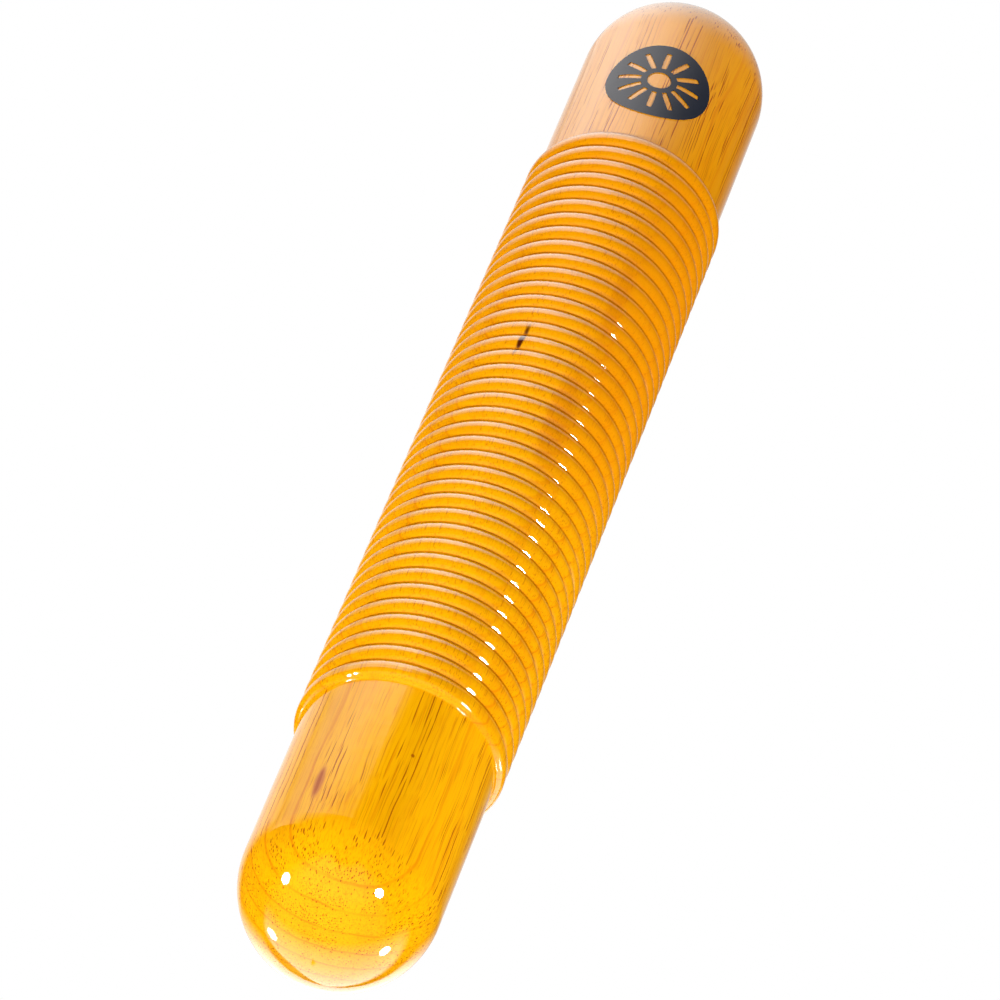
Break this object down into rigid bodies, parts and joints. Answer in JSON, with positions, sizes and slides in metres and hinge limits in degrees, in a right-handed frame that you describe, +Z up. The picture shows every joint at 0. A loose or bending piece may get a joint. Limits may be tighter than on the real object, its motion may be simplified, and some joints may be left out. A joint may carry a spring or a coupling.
{
  "type": "guiro",
  "caption": "Turned wooden guiro: a hollow cylinder with rounded scraping ribs round its middle, plain domed ends and finger holes in the back.",
  "frame": {"origin": "middle of the instrument, on its axis", "axes": "+X along the axis towards the badge end, +Z up through the middle of the badge, finger holes on -Z"},
  "size_m": [0.432, 0.064, 0.064],
  "materials": {
    "ribbed_wood": "gloss lacquer",
    "plain_wood": "gloss lacquer",
    "badge_foil": "gloss"
  },
  "bodies": {
    "root": {"ribbed_barrel": "ribbed_wood", "grip_end_cap": "plain_wood", "badge_end_cap": "plain_wood", "badge": "badge_foil"}
  },
  "joints": []
}
